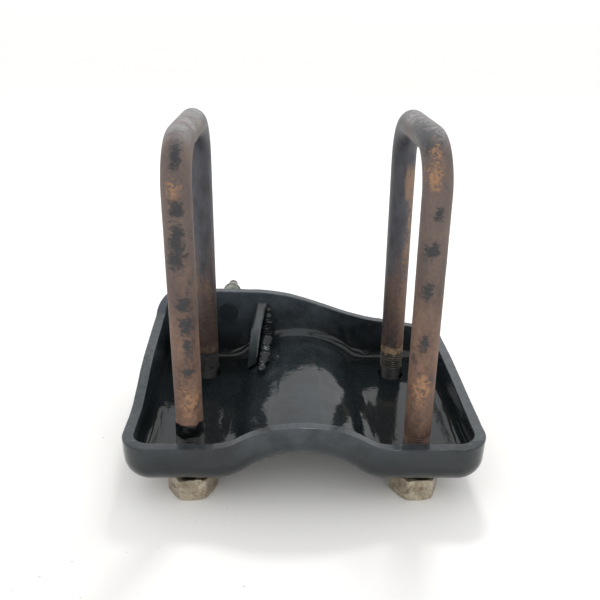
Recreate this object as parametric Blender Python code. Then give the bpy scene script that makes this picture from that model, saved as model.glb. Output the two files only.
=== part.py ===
"""Leaf-spring U-bolt clamp set: stamped spring plate, two square-bend U-bolts, four heavy hex nuts,
a welded gusset rib with its bead, and a shock-absorber stud. Metres, +Z up, standing on the nuts."""
import math

import bmesh
import bpy
from mathutils import Vector

MM = 0.001

# U-bolts: 9/16-18 rod, for a 3 in spring pack
ROD_R = 7.145
LEG_PITCH_Y = 90.5          # leg to leg of one bolt
BOLT_PITCH_X = 120.5        # bolt to bolt, astride the axle tube
BEND_R = 23.0               # centreline radius of the top bends
CROSSBAR_Z = {"left": 185.0, "right": 186.3}
LEG_END_Z = 1.0
THREAD_TOP_Z = 37.4
THREAD_PITCH = 1.411
THREAD_DEPTH = 0.75
THREAD_LOW_Z = 12.5         # ridges are cut from here up; the rest of the leg end sits in the nut
BOLT_SIDES = 20
BOLT_LEAN_DEG = {"left": 0.4, "right": 1.1}     # the bolts lean to the left in their holes

# Heavy hex nuts
NUT_AF = 23.81
NUT_H = 13.6
NUT_BORE_R = 7.45
NUT_CHAMFER_DEG = 30.0
NUT_TURN_DEG = {"front_left": 7.0, "back_left": 22.0, "front_right": 5.0, "back_right": 41.0}

# Spring plate: 1/4 in plate pressed into a pan with an arch for the axle tube
PLATE_T = 6.35
PLATE_HALF_X = 95.2
PLATE_HALF_Y = 70.75
PLATE_MID_Y = 6.25          # the pan reaches further behind the legs than in front of them
PLATE_UNDER_Z = 13.9
FLANGE_BEND_R = 12.7        # outside radius between floor and flange
CORNER_R = 15.5             # plan radius of the outer corners
HOLE_R = 7.95
ARCH_X = -1.5
ARCH_R = 47.5               # underside radius of the arch crown
ARCH_FILLET_R = 26.0        # underside radius where the arch runs into the flat floor
ARCH_RISE = 16.1
RIM_EDGE_R = 1.0

# Heights of the flange rim above the ground
RIM_FRONT_Z = 38.1
RIM_FRONT_ARCH = 0.80       # share of the arch rise the front rim follows
RIM_BACK_HIGH_Z = 67.7
RIM_BACK_LOW_Z = 46.3
RIM_RIGHT_END_Z = 41.7
RIM_RIGHT_FRONT_Z = 39.0
RIM_LEFT_FRONT_Z = 37.6
RIM_LEFT_RISE = 12.5

# Gusset rib between floor and back flange
RIB_T = 6.0
RIB_BASE_X = -31.2
RIB_LEAN_X = 6.0            # how far the top of the rib is bent over to the right
RIB_TOP_Z = 60.5
RIB_TOE_Y = 39.5
RIB_TOE_RISE = 5.0
RIB_TOP_DEPTH = 3.6

# Lumpy weld bead: shares of its run where it leaves the wall and reaches the floor
WELD_TURN_FROM = 0.46
WELD_TURN_TO = 0.58
WELD_FOOT_L = 42.0

# Shock-absorber stud, pointing backwards
STUD_X = -48.3
STUD_Z = 52.0
STUD_R = 6.35
STUD_COLLAR_R = 10.5
STUD_COLLAR_T = 6.0
STUD_END_Y = 123.5          # tip of the stud, measured from the middle of the bolt pattern
STUD_THREAD = 25.4
STUD_PITCH = 1.27
STUD_CONE_L = 6.0
STUD_NOSE_R = 3.2
STUD_NOSE_L = 7.5

GAP = 0.3

# The frame's origin is the middle of the overall box, on the ground
PLATE_FRONT_Y = PLATE_MID_Y - PLATE_HALF_Y
PLATE_BACK_Y = PLATE_MID_Y + PLATE_HALF_Y
ORIGIN_Y = (STUD_END_Y + PLATE_FRONT_Y) / 2.0


def clear_scene():
    for obj in list(bpy.data.objects):
        bpy.data.objects.remove(obj, do_unlink=True)
    for block in (bpy.data.meshes, bpy.data.materials, bpy.data.curves):
        for item in list(block):
            block.remove(item)


def material(name, colour, metallic, roughness, coat=0.0):
    mat = bpy.data.materials.new(name)
    mat.use_nodes = True
    shader = mat.node_tree.nodes["Principled BSDF"]
    shader.inputs["Base Color"].default_value = (*colour, 1.0)
    shader.inputs["Metallic"].default_value = metallic
    shader.inputs["Roughness"].default_value = roughness
    shader.inputs["Coat Weight"].default_value = coat
    return mat


def make_object(name, verts, faces, mat, origin=(0.0, 0.0, 0.0), smooth_deg=None):
    """Verts and `origin` are millimetres from the middle of the bolt pattern, on the ground."""
    mesh = bpy.data.meshes.new(name)
    shift = Vector(origin)
    mesh.from_pydata([(Vector(v) - shift) * MM for v in verts], [], faces)
    mesh.validate()
    bm = bmesh.new()
    bm.from_mesh(mesh)
    bmesh.ops.recalc_face_normals(bm, faces=bm.faces)
    bm.to_mesh(mesh)
    bm.free()
    obj = bpy.data.objects.new(name, mesh)
    obj.location = (shift - Vector((0.0, ORIGIN_Y, 0.0))) * MM
    bpy.context.scene.collection.objects.link(obj)
    mesh.materials.append(mat)
    if smooth_deg is not None:
        shade(obj, smooth_deg)
    return obj


def shade(obj, degrees):
    """Smooth faces, with edges sharper than the given angle kept sharp."""
    mesh = obj.data
    bm = bmesh.new()
    bm.from_mesh(mesh)
    limit = math.radians(degrees)
    for face in bm.faces:
        face.smooth = True
    for edge in bm.edges:
        edge.smooth = len(edge.link_faces) == 2 and edge.calc_face_angle(0.0) < limit
    bm.to_mesh(mesh)
    bm.free()


def boolean(obj, cutter, operation):
    """Applies an exact boolean and removes the cutter."""
    cutter.hide_render = True
    cutter.display_type = "WIRE"
    mod = obj.modifiers.new("bool", "BOOLEAN")
    mod.operation = operation
    mod.solver = "EXACT"
    mod.object = cutter
    graph = bpy.context.evaluated_depsgraph_get()
    graph.update()
    result = bpy.data.meshes.new_from_object(obj.evaluated_get(graph))
    obj.modifiers.remove(mod)
    old = obj.data
    obj.data = result
    bpy.data.meshes.remove(old)
    bpy.data.objects.remove(cutter, do_unlink=True)


def loft(rings):
    """Closed solid through rings of equal length, capped at both ends."""
    n = len(rings[0])
    verts = [p for ring in rings for p in ring]
    faces = []
    for k in range(len(rings) - 1):
        a = k * n
        b = a + n
        for i in range(n):
            j = (i + 1) % n
            faces.append((a + i, a + j, b + j, b + i))
    faces.append(tuple(range(n - 1, -1, -1)))
    last = (len(rings) - 1) * n
    faces.append(tuple(range(last, last + n)))
    return verts, faces


def cylinder(name, centre, radius, length, axis, mat, sides=48):
    """Plain cylinder used as a cutter; axis is 'Y' or 'Z'."""
    rings = []
    for end in (-0.5, 0.5):
        ring = []
        for i in range(sides):
            a = 2.0 * math.pi * i / sides
            u, v, w = radius * math.cos(a), radius * math.sin(a), end * length
            offset = (u, v, w) if axis == "Z" else (u, w, v)
            ring.append(tuple(c + o for c, o in zip(centre, offset)))
        rings.append(ring)
    verts, faces = loft(rings)
    return make_object(name, verts, faces, mat)


# ---------------------------------------------------------------- arch and rim profiles
def arch(x, offset):
    """Height of the arch above the flat at x, for the surface lying `offset` above the underside."""
    radius = ARCH_R + offset
    fillet = ARCH_FILLET_R - offset
    total = radius + fillet
    drop = radius - ARCH_RISE
    end = math.sqrt(total * total - (fillet + drop) ** 2)
    d = abs(x - ARCH_X)
    if d >= end:
        return 0.0
    if d <= end * radius / total:
        return math.sqrt(radius * radius - d * d) - drop
    return fillet - math.sqrt(fillet * fillet - (end - d) ** 2)


def under_z(x):
    return PLATE_UNDER_Z + arch(x, 0.0)


def floor_z(x):
    return PLATE_UNDER_Z + PLATE_T + arch(x, PLATE_T)


def ease(t):
    t = min(max(t, 0.0), 1.0)
    return t * t * (3.0 - 2.0 * t)


def corner_z(za, zb, t):
    """Rim height round a corner: it comes up quickly and runs level into the higher side."""
    turn = 0.5 * math.pi * t
    share = 1.0 - math.cos(turn) if za > zb else math.sin(turn)
    return za + (zb - za) * share


def rim_front(x):
    return RIM_FRONT_Z + RIM_FRONT_ARCH * arch(x, PLATE_T)


def rim_left(y):
    return RIM_LEFT_FRONT_Z + RIM_LEFT_RISE * ease((y + 33.0) / 56.0) + 0.125 * max(y - 18.0, 0.0)


def rim_right(y):
    rise = (RIM_RIGHT_END_Z - RIM_RIGHT_FRONT_Z) * ease((y + 60.0) / 95.0)
    return RIM_RIGHT_FRONT_Z + rise


def rim_back(x):
    fall = (RIM_BACK_HIGH_Z - RIM_BACK_LOW_Z) * ease((x + 29.0) / 92.0)
    return RIM_BACK_HIGH_Z - fall - 0.14 * max(x - 55.0, 0.0)


# ---------------------------------------------------------------- spring plate
def side_stations():
    """X positions shared by the front and back edges, close together over the arch."""
    flat_end = PLATE_HALF_X - CORNER_R
    return [flat_end * (2.0 * i / 44 - 1.0) for i in range(45)]


def plate_stations():
    """Points round the outline: (x, y, inward direction, rim height), anticlockwise from front left."""
    hx, front, back, r = PLATE_HALF_X, PLATE_FRONT_Y, PLATE_BACK_Y, CORNER_R
    xs = side_stations()
    ys = [PLATE_MID_Y + (PLATE_HALF_Y - r) * (2.0 * i / 12 - 1.0) for i in range(13)]
    out = [(x, front, (0.0, 1.0), rim_front(x)) for x in xs]
    corners = ((hx - r, front + r, -90.0), (hx - r, back - r, 0.0),
               (-hx + r, back - r, 90.0), (-hx + r, front + r, 180.0))
    ends = ((rim_front(xs[-1]), rim_right(ys[0])), (rim_right(ys[-1]), rim_back(xs[-1])),
            (rim_back(xs[0]), rim_left(ys[-1])), (rim_left(ys[0]), rim_front(xs[0])))
    sides = ([(hx, y, (-1.0, 0.0), rim_right(y)) for y in ys],
             [(x, back, (0.0, -1.0), rim_back(x)) for x in reversed(xs)],
             [(-hx, y, (1.0, 0.0), rim_left(y)) for y in reversed(ys)], [])
    for (cx, cy, start), (za, zb), side in zip(corners, ends, sides):
        for k in range(1, 7):
            a = math.radians(start + 90.0 * k / 7)
            point = (cx + r * math.cos(a), cy + r * math.sin(a))
            out.append((*point, (-math.cos(a), -math.sin(a)), corner_z(za, zb, k / 7)))
        out.extend(side)
    return out


def plate_ring(stations, inset, height):
    """One ring of points: `height` gives z from (x, y, rim height)."""
    ring = []
    for x, y, (nx, ny), rim in stations:
        px, py = x + nx * inset, y + ny * inset
        ring.append((px, py, height(px, py, rim)))
    return ring


def plate_mesh():
    stations = plate_stations()
    n = len(stations)
    e = RIM_EDGE_R
    ro, ri = FLANGE_BEND_R, FLANGE_BEND_R - PLATE_T
    rings = []
    steps = 6
    for k in range(steps, -1, -1):
        a = math.radians(90.0 * k / steps)
        inset = ro * (1.0 - math.cos(a))
        rings.append(plate_ring(stations, inset, lambda x, y, rim, a=a: under_z(x) + ro * (1.0 - math.sin(a))))
    for a in (0.0, 45.0, 90.0):
        c, s = math.cos(math.radians(a)), math.sin(math.radians(a))
        rings.append(plate_ring(stations, e * (1.0 - c), lambda x, y, rim, s=s: rim - e * (1.0 - s)))
    for a in (90.0, 45.0, 0.0):
        c, s = math.cos(math.radians(a)), math.sin(math.radians(a))
        rings.append(plate_ring(stations, PLATE_T - e * (1.0 - c), lambda x, y, rim, s=s: rim - e * (1.0 - s)))
    for k in range(steps + 1):
        a = math.radians(90.0 * k / steps)
        inset = PLATE_T + ri * (1.0 - math.cos(a))
        rings.append(plate_ring(stations, inset, lambda x, y, rim, a=a: floor_z(x) + ri * (1.0 - math.sin(a))))
    verts = [p for ring in rings for p in ring]
    faces = []
    for k in range(len(rings) - 1):
        for i in range(n):
            j = (i + 1) % n
            faces.append((k * n + i, k * n + j, (k + 1) * n + j, (k + 1) * n + i))
    # floor and underside: strips from front edge to back edge, one flat face at each end
    m = len(side_stations())
    back0 = m + 6 + 13 + 6
    for base in (0, (len(rings) - 1) * n):
        for i in range(m - 1):
            faces.append((base + i, base + i + 1, base + back0 + m - 2 - i, base + back0 + m - 1 - i))
        faces.append(tuple(base + i for i in range(m - 1, back0 + 1)))
        faces.append(tuple([base + i for i in range(back0 + m - 1, n)] + [base]))
    return verts, faces


def build_plate(mat):
    verts, faces = plate_mesh()
    plate = make_object("spring_plate", verts, faces, mat)
    for x, y in leg_positions().values():
        boolean(plate, cylinder("cut", (x, y, PLATE_UNDER_Z), HOLE_R, 40.0, "Z", mat), "DIFFERENCE")
    boolean(plate, cylinder("cut", (STUD_X, PLATE_BACK_Y, STUD_Z), STUD_R + GAP, 30.0, "Y", mat), "DIFFERENCE")
    shade(plate, 30.0)
    return plate


# ---------------------------------------------------------------- bolts and nuts
def leg_positions():
    hx, hy = BOLT_PITCH_X / 2.0, LEG_PITCH_Y / 2.0
    return {"front_left": (-hx, -hy), "back_left": (-hx, hy), "front_right": (hx, -hy), "back_right": (hx, hy)}


def thread_profile(z_low, z_high, radius, depth, pitch):
    """(z, radius) pairs of annular ridges between two heights."""
    count = int((z_high - z_low) / pitch)
    out = [(z_low, radius - depth)]
    for k in range(count):
        z = z_low + pitch * k
        out.append((z + 0.5 * pitch, radius))
        out.append((z + pitch, radius - depth))
    out.append((z_low + pitch * count + 0.6, radius))
    return out


def leg_profile(top):
    """(z, radius) pairs of one leg from its chamfered end to the foot of the bend."""
    core = ROD_R - THREAD_DEPTH
    out = [(LEG_END_Z, core - 1.2), (LEG_END_Z + 1.2, core)]
    out += thread_profile(THREAD_LOW_Z, THREAD_TOP_Z, ROD_R, THREAD_DEPTH, THREAD_PITCH)
    out += [(80.0, ROD_R), (125.0, ROD_R), (top - BEND_R, ROD_R)]
    return out


def bolt_sections(side):
    """Centre, tilt angle and radius of each section, front leg end to back leg end."""
    hy = LEG_PITCH_Y / 2.0
    top = CROSSBAR_Z[side]
    leg = leg_profile(top)
    out = [(-hy, z, 0.0, r) for z, r in leg]
    steps = 8
    for k in range(1, steps + 1):
        a = 0.5 * math.pi * k / steps
        out.append((-hy + BEND_R * (1.0 - math.cos(a)), top - BEND_R * (1.0 - math.sin(a)), a, ROD_R))
    out.append((0.0, top, 0.5 * math.pi, ROD_R))
    for y, z, a, r in reversed(out[:-1]):
        out.append((-y, z, math.pi - a, r))
    return out


def lean_shift(side, z):
    """How far the axis of a leaning bolt has moved in X at height z; it passes the plate on centre."""
    return -math.tan(math.radians(BOLT_LEAN_DEG[side])) * (z - PLATE_UNDER_Z - 0.5 * PLATE_T)


def build_bolt(side, x, mat):
    rings = []
    for y, z, tilt, r in bolt_sections(side):
        ring = []
        for i in range(BOLT_SIDES):
            a = 2.0 * math.pi * i / BOLT_SIDES
            across = r * math.sin(a)
            pz = z + across * math.sin(tilt)
            ring.append((x + r * math.cos(a) + lean_shift(side, pz), y - across * math.cos(tilt), pz))
        rings.append(ring)
    verts, faces = loft(rings)
    top = CROSSBAR_Z[side]
    origin = (x + lean_shift(side, top), 0.0, top)
    return make_object("u_bolt_" + side, verts, faces, mat, origin=origin, smooth_deg=24.0)


def build_nut(name, x, y, turn, mat):
    corner_r = NUT_AF / math.sqrt(3.0)
    outer, bore = [], []
    for z in (0.0, NUT_H):
        outer.append([(x + corner_r * math.cos(math.radians(60.0 * i + turn)),
                       y + corner_r * math.sin(math.radians(60.0 * i + turn)), z) for i in range(6)])
    verts, faces = loft(outer)
    nut = make_object(name, verts, faces, mat, origin=(x, y, 0.0))
    face_r = NUT_AF / 2.0 * 0.96
    drop = (corner_r + 2.0 - face_r) * math.tan(math.radians(NUT_CHAMFER_DEG))
    rings = []
    for z, r in ((0.0, face_r), (drop, corner_r + 2.0), (NUT_H - drop, corner_r + 2.0), (NUT_H, face_r)):
        rings.append([(x + r * math.cos(2.0 * math.pi * i / 48), y + r * math.sin(2.0 * math.pi * i / 48), z)
                      for i in range(48)])
    verts, faces = loft(rings)
    boolean(nut, make_object("cut", verts, faces, mat), "INTERSECT")
    lead = NUT_BORE_R + 0.9
    for z, r in ((-1.0, lead + 1.0), (0.9, NUT_BORE_R), (NUT_H - 0.9, NUT_BORE_R), (NUT_H + 1.0, lead + 1.0)):
        bore.append([(x + r * math.cos(2.0 * math.pi * i / 32), y + r * math.sin(2.0 * math.pi * i / 32), z)
                     for i in range(32)])
    verts, faces = loft(bore)
    boolean(nut, make_object("cut", verts, faces, mat), "DIFFERENCE")
    shade(nut, 24.0)
    return nut


# ---------------------------------------------------------------- gusset rib and weld
def rib_x(z):
    """Mid-plane of the bent rib at height z."""
    base = floor_z(RIB_BASE_X)
    return RIB_BASE_X + RIB_LEAN_X * ((z - base) / (RIB_TOP_Z - base)) ** 2


def rib_front_y(t):
    """Front edge of the rib, t from the toe (0) to the top (1): steep, slightly hollow."""
    wall = PLATE_BACK_Y - PLATE_T - GAP
    return RIB_TOE_Y + (wall - RIB_TOP_DEPTH - RIB_TOE_Y) * (1.0 - (1.0 - t) ** 1.5)


def build_rib(mat):
    wall = PLATE_BACK_Y - PLATE_T - GAP
    steps = 10
    rings = []
    for side in (-0.5, 0.5):
        foot_x = rib_x(floor_z(RIB_BASE_X)) + side * RIB_T
        foot = floor_z(foot_x) + GAP
        clear = FLANGE_BEND_R - PLATE_T + 1.5
        outline = [(wall - clear, foot), (RIB_TOE_Y, foot)]
        for k in range(steps + 1):
            t = k / steps
            outline.append((rib_front_y(t), foot + RIB_TOE_RISE + (RIB_TOP_Z - foot - RIB_TOE_RISE) * t))
        outline += [(wall, RIB_TOP_Z), (wall, foot + clear)]
        rings.append([(rib_x(z) + side * RIB_T, y, z) for y, z in outline])
    verts, faces = loft(rings)
    return make_object("gusset_rib", verts, faces, mat, smooth_deg=30.0)


def build_weld(mat):
    """Lumpy fillet bead down the corner of rib and back flange and along the foot of the rib."""
    wall = PLATE_BACK_Y - PLATE_T
    bend = FLANGE_BEND_R - PLATE_T
    stations, sides = 56, 10
    rings = []
    for k in range(stations + 1):
        t = k / stations
        size = 3.3 + 0.8 * t + 0.45 * math.sin(19.0 * t * math.pi) + 0.3 * math.sin(31.0 * t + 1.0)
        size *= math.sin(math.pi * min(max(t, 0.012), 0.988)) ** 0.25
        a = 0.5 * math.pi * min(max((t - WELD_TURN_FROM) / (WELD_TURN_TO - WELD_TURN_FROM), 0.0), 1.0)
        reach = max(bend - size - 2.0 * GAP, 0.2)
        foot_x = rib_x(33.0) + 0.5 * RIB_T + GAP + 1.2 * size
        foot = floor_z(foot_x) + 0.28 * size
        along = max(t - WELD_TURN_TO, 0.0) / (1.0 - WELD_TURN_TO)
        y = wall - bend + reach * math.cos(a) - along * WELD_FOOT_L
        z = foot + bend - reach * math.sin(a)
        z += (RIB_TOP_Z - 3.0 - z) * (1.0 - min(t / WELD_TURN_FROM, 1.0))
        centre = Vector((rib_x(z) + 0.5 * RIB_T + GAP + size * (1.06 + 0.18 * math.sin(a)), y, z))
        u = Vector((1.0, 0.0, 0.0))
        v = Vector((0.0, -math.cos(a), math.sin(a)))
        angles = [2.0 * math.pi * i / sides for i in range(sides)]
        rings.append([tuple(centre + size * 0.94 * (math.cos(b) * u + math.sin(b) * v)) for b in angles])
    verts, faces = loft(rings)
    return make_object("gusset_weld", verts, faces, mat, smooth_deg=60.0)


# ---------------------------------------------------------------- stud
def stud_profile():
    """(distance along the stud from the inner wall face, radius)."""
    seat = PLATE_T + GAP
    shoulder = seat + STUD_COLLAR_T
    tip = STUD_END_Y - (PLATE_BACK_Y - PLATE_T)
    nose = tip - STUD_NOSE_L
    cone = nose - STUD_CONE_L
    out = [(GAP, STUD_R - 0.5), (GAP + 0.5, STUD_R), (seat, STUD_R), (seat, STUD_COLLAR_R)]
    out += [(shoulder - 0.8, STUD_COLLAR_R), (shoulder, STUD_COLLAR_R - 0.8), (shoulder, STUD_R)]
    count = int(STUD_THREAD / STUD_PITCH)
    first = cone - STUD_PITCH * count
    for k in range(count):
        out.append((first + STUD_PITCH * k, STUD_R))
        out.append((first + STUD_PITCH * (k + 0.5), STUD_R - 0.7))
    out += [(cone, STUD_R - 0.3), (nose, STUD_NOSE_R + 1.0), (nose + 0.2, STUD_NOSE_R)]
    out += [(tip - 0.8, STUD_NOSE_R), (tip, STUD_NOSE_R - 0.8)]
    return out


def build_stud(mat):
    """Straight stud standing square to the back flange, its inner end flush with the pan's wall."""
    inner = PLATE_BACK_Y - PLATE_T
    sides = 24
    rings = []
    for s, r in stud_profile():
        angles = [2.0 * math.pi * i / sides for i in range(sides)]
        rings.append([(STUD_X + r * math.cos(b), inner + s, STUD_Z + r * math.sin(b)) for b in angles])
    verts, faces = loft(rings)
    return make_object("shock_stud", verts, faces, mat, smooth_deg=24.0)


def main():
    clear_scene()
    build_plate(material("paint_plate", (0.012, 0.012, 0.014), 0.0, 0.25, 0.6))
    build_rib(material("paint_rib", (0.02, 0.021, 0.022), 0.0, 0.3, 0.4))
    build_weld(material("paint_weld", (0.014, 0.014, 0.016), 0.0, 0.25, 0.5))
    build_stud(material("stud_steel", (0.22, 0.24, 0.2), 0.8, 0.45))
    half = BOLT_PITCH_X / 2.0
    build_bolt("left", -half, material("rust_left", (0.2, 0.1, 0.06), 0.5, 0.6))
    build_bolt("right", half, material("rust_right", (0.2, 0.1, 0.06), 0.5, 0.6))
    for place, (x, y) in leg_positions().items():
        x += lean_shift(place.split("_")[1], 0.5 * NUT_H)
        mat = material("nut_" + place + "_zinc", (0.38, 0.33, 0.26), 0.85, 0.45)
        build_nut("nut_" + place, x, y, NUT_TURN_DEG[place], mat)


main()
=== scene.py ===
"""Looks of the spring-plate and U-bolt set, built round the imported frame."""
import math

import bmesh
import bpy
import numpy as np
from mathutils import Matrix, Vector, noise


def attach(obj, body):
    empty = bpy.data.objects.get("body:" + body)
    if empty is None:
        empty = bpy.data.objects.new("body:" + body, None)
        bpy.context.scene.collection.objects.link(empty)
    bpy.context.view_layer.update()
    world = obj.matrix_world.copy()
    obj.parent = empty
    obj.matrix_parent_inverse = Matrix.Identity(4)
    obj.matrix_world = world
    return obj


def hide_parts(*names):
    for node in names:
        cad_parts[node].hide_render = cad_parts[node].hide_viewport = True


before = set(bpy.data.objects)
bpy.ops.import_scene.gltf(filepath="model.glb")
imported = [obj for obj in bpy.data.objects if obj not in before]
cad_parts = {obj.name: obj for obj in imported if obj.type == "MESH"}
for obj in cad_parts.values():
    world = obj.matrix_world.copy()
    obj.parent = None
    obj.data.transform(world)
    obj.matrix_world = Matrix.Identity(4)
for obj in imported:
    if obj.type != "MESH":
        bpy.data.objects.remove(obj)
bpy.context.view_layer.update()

MM = 0.001
ORIGIN_Y = 29.5             # the frame's origin lies this far behind the middle of the bolt pattern

# sizes in millimetres and angles in degrees, from the middle of the bolt pattern, as in the CAD
ROD_R, LEG_PITCH_Y, BOLT_PITCH_X = 7.145, 90.5, 120.5
BEND_R, LEG_END_Z = 23.0, 1.0
CROSSBAR_Z = {"left": 185.0, "right": 186.3}
THREAD_TOP_Z, THREAD_PITCH, THREAD_DEPTH = 37.4, 1.411, 0.75
LEAN_DEG = {"left": 0.4, "right": 1.1}
NUT_AF, NUT_H, NUT_BORE_R = 23.81, 13.6, 7.45
NUT_TURN_DEG = {"front_left": 7.0, "back_left": 22.0, "front_right": 5.0, "back_right": 41.0}
PLATE_T, HALF_X, HALF_Y, MID_Y, UNDER_Z = 6.35, 95.2, 70.75, 6.25, 13.9
FRONT_Y, BACK_Y = MID_Y - HALF_Y, MID_Y + HALF_Y
FLANGE_BEND_R, CORNER_R, HOLE_R = 12.7, 15.5, 7.95
ARCH_X, ARCH_R, ARCH_FILLET_R, ARCH_RISE = -1.5, 47.5, 26.0, 16.1
RIB_T, RIB_BASE_X, RIB_LEAN_X, RIB_TOP_Z = 6.0, -31.2, 6.0, 60.5
RIB_TOE_Y, RIB_TOE_RISE, RIB_TOP_DEPTH = 39.5, 5.0, 3.6
WELD_TURN_FROM, WELD_TURN_TO, WELD_FOOT_L = 0.46, 0.58, 42.0
STUD_X, STUD_Z, STUD_R, STUD_COLLAR_R, STUD_COLLAR_T = -48.3, 52.0, 6.35, 10.5, 6.0
STUD_END_Y, STUD_THREAD, STUD_PITCH = 123.5, 25.4, 1.27
STUD_CONE_L, STUD_NOSE_R, STUD_NOSE_L = 6.0, 3.2, 7.5
GAP = 0.3                   # clearance between the plate and what is fixed to it
THREAD_CREST_IN = 0.02      # the drawn rod stays this far inside the CAD's


# ------------------------------------------------------------------ mesh helpers
def fractal(p, scale, octaves=3, seed=0.0):
    """Smooth noise from -1 to 1 at a point in millimetres; scale is in waves per millimetre."""
    q = Vector((p[0] * scale + seed, p[1] * scale - seed, p[2] * scale + 0.5 * seed))
    return noise.fractal(q, 1.0, 2.0, octaves)


def make_piece(name, verts, faces, mat, smooth_deg=35.0):
    """Turns points in millimetres into an object in metres, in the frame's own axes."""
    mesh = bpy.data.meshes.new(name)
    mesh.from_pydata([(x * MM, (y - ORIGIN_Y) * MM, z * MM) for x, y, z in verts], [], faces)
    mesh.validate()
    bm = bmesh.new()
    bm.from_mesh(mesh)
    bmesh.ops.remove_doubles(bm, verts=bm.verts, dist=2e-7)
    bmesh.ops.recalc_face_normals(bm, faces=bm.faces)
    bm.to_mesh(mesh)
    bm.free()
    obj = bpy.data.objects.new(name, mesh)
    bpy.context.scene.collection.objects.link(obj)
    mesh.materials.append(mat)
    shade(obj, smooth_deg)
    return obj


def shade(obj, degrees):
    """Smooth shading, with creases where the surface turns by more than the given angle."""
    bm = bmesh.new()
    bm.from_mesh(obj.data)
    limit = math.radians(degrees)
    for face in bm.faces:
        face.smooth = True
    for edge in bm.edges:
        edge.smooth = len(edge.link_faces) == 2 and edge.calc_face_angle(0.0) < limit
    bm.to_mesh(obj.data)
    bm.free()


def skin(rings, closed=False):
    """Quads between rings of equal length; a closed skin joins the last ring to the first."""
    n = len(rings[0])
    verts = [tuple(p) for ring in rings for p in ring]
    faces = []
    for k in range(len(rings) if closed else len(rings) - 1):
        a, b = k * n, (k + 1) % len(rings) * n
        faces += [(a + i, a + (i + 1) % n, b + (i + 1) % n, b + i) for i in range(n)]
    return verts, faces


def loft(rings):
    """Closed solid through rings of equal length, with a fan of triangles at each end."""
    verts, faces = skin(rings)
    n = len(rings[0])
    for base in (0, (len(rings) - 1) * n):
        ring = np.array(verts[base:base + n])
        verts.append(tuple(ring.mean(0)))
        centre = len(verts) - 1
        faces += [(base + i, base + (i + 1) % n, centre) for i in range(n)]
    return verts, faces


def apply_modifiers(obj):
    graph = bpy.context.evaluated_depsgraph_get()
    graph.update()
    result = bpy.data.meshes.new_from_object(obj.evaluated_get(graph))
    obj.modifiers.clear()
    obj.data = result


def cut(obj, cutters):
    for cutter in cutters:
        mod = obj.modifiers.new("cut", "BOOLEAN")
        mod.operation = "DIFFERENCE"
        mod.solver = "EXACT"
        mod.object = cutter
    apply_modifiers(obj)
    for cutter in cutters:
        bpy.data.objects.remove(cutter, do_unlink=True)


def round_cutter(centre, radius, length, axis, mat, sides=64):
    rings = []
    for end in (-0.5, 0.5):
        ring = []
        for i in range(sides):
            a = 2.0 * math.pi * i / sides
            u, v, w = radius * math.cos(a), radius * math.sin(a), end * length
            offset = (u, v, w) if axis == "Z" else (u, w, v)
            ring.append(tuple(c + o for c, o in zip(centre, offset)))
        rings.append(ring)
    return make_piece("cutter", *loft(rings), mat)


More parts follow.
